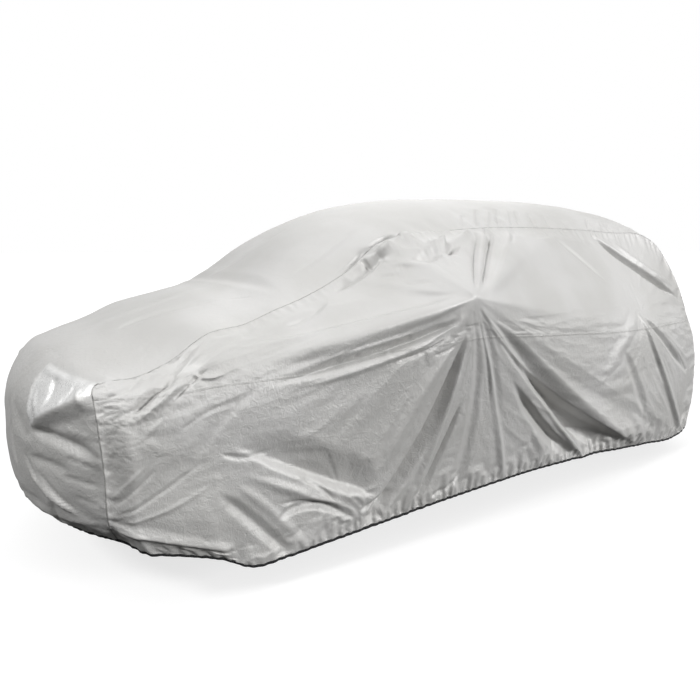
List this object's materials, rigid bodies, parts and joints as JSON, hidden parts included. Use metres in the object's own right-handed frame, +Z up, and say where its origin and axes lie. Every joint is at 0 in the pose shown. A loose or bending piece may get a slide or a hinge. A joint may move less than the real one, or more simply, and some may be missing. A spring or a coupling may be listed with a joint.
{
  "type": "car cover",
  "caption": "Fitted coated-cloth cover for a mid-size SUV, hollow and open underneath, with mirror peaks, seamed sides and an elastic hem.",
  "frame": {"origin": "the point under the roof's cloth, on the centre line and 1.707 m above the ground, where the car's roof holds the cover up", "axes": "+Z up; the front faces -Y and the length runs along Y; +X is the cover's left side"},
  "size_m": [2.1394, 4.488, 1.6109],
  "materials": {
    "silver_cloth": "satin silver-grey coating on a woven cloth",
    "black_elastic": "matt black woven elastic"
  },
  "bodies": {
    "root": {"top_panel": "silver_cloth", "side_upper_left": "silver_cloth", "side_lower_left": "silver_cloth", "side_upper_right": "silver_cloth", "side_lower_right": "silver_cloth", "binding_front": "black_elastic", "binding_left": "black_elastic", "binding_rear": "black_elastic", "binding_right": "black_elastic"}
  },
  "joints": []
}
